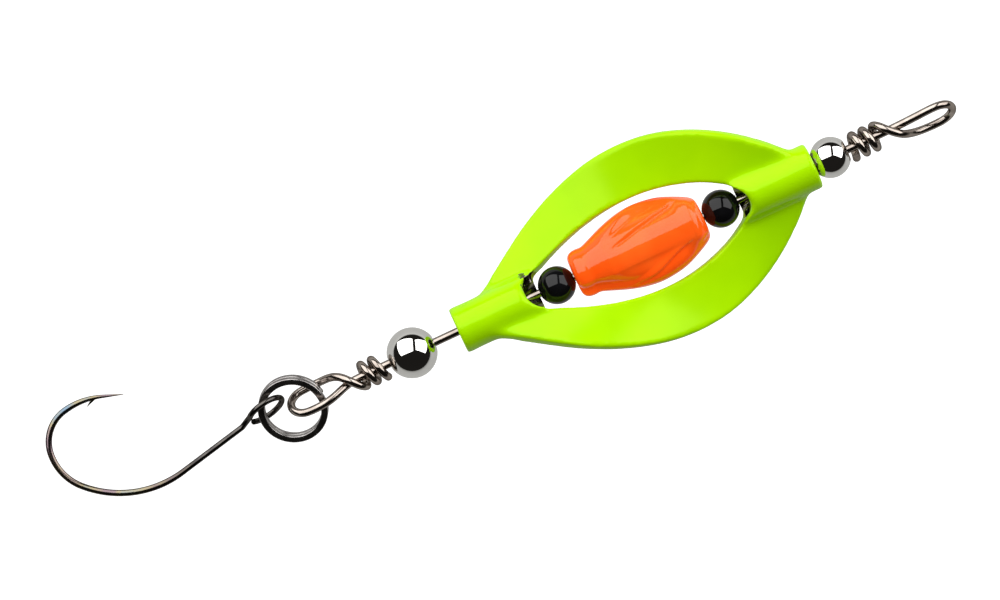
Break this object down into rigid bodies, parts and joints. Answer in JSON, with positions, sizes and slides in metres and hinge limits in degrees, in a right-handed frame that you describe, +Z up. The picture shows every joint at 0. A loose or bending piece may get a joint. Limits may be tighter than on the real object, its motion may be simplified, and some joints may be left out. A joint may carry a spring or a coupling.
{
  "type": "inline spinner",
  "caption": "Inline spinner fishing lure: a twisted leaf blade turns round beads on a wire shaft with twisted eyes; a split ring carries a single hook.",
  "frame": {"origin": "bottom centre of the whole lure's box as it lies flat, shaft level", "axes": "+X along the wire shaft towards the line eye, +Z up, across the flat of the blade"},
  "size_m": [0.076, 0.016, 0.0066],
  "materials": {
    "shaft_wire": "polished",
    "front_ball": "polished",
    "rear_ball": "polished",
    "spinner_blade": "gloss",
    "attractor_bead": "gloss",
    "front_bead": "gloss",
    "rear_bead": "gloss",
    "split_ring": "satin",
    "hook": "gloss"
  },
  "bodies": {
    "shaft": {"shaft_wire": "shaft_wire"},
    "rear_bearing": {"rear_ball": "rear_ball"},
    "front_bearing": {"front_ball": "front_ball"},
    "blade": {"spinner_blade": "spinner_blade"},
    "front_glass_bead": {"front_bead": "front_bead"},
    "fluted_bead": {"attractor_bead": "attractor_bead"},
    "rear_glass_bead": {"rear_bead": "rear_bead"},
    "ring": {"split_ring": "split_ring"},
    "single_hook": {"hook": "hook"}
  },
  "joints": [
    {"name": "stack_slide", "type": "slide", "parent": "shaft", "child": "front_bearing", "axis": [1, 0, 0], "range_m": [-0.002, 0]},
    {"name": "blade_spin", "type": "hinge", "parent": "front_bearing", "child": "blade", "pos_m": [0.00942, 0, 0.0033], "axis": [1, 0, 0], "continuous": true},
    {"name": "front_bead_spin", "type": "hinge", "parent": "front_bearing", "child": "front_glass_bead", "pos_m": [0.01798, 0, 0.0033], "axis": [1, 0, 0], "continuous": true},
    {"name": "fluted_bead_spin", "type": "hinge", "parent": "front_bearing", "child": "fluted_bead", "pos_m": [0.01092, 0, 0.0033], "axis": [1, 0, 0], "continuous": true},
    {"name": "rear_bead_spin", "type": "hinge", "parent": "front_bearing", "child": "rear_glass_bead", "pos_m": [0.00387, 0, 0.0033], "axis": [1, 0, 0], "continuous": true},
    {"name": "rear_ball_spin", "type": "hinge", "parent": "shaft", "child": "rear_bearing", "pos_m": [-0.00861, 0, 0.0033], "axis": [1, 0, 0], "continuous": true},
    {"name": "ring_swing", "type": "hinge", "parent": "shaft", "child": "ring", "pos_m": [-0.01649, -0.00021, 0.00322], "axis": [0, 0.9333, 0.359], "range_deg": [-127, 127]},
    {"name": "hook_swing", "type": "hinge", "parent": "ring", "child": "single_hook", "pos_m": [-0.02113, 0.00093, 0.00254], "axis": [0.3293, 0.8519, 0.4073], "range_deg": [-30, 100]}
  ]
}
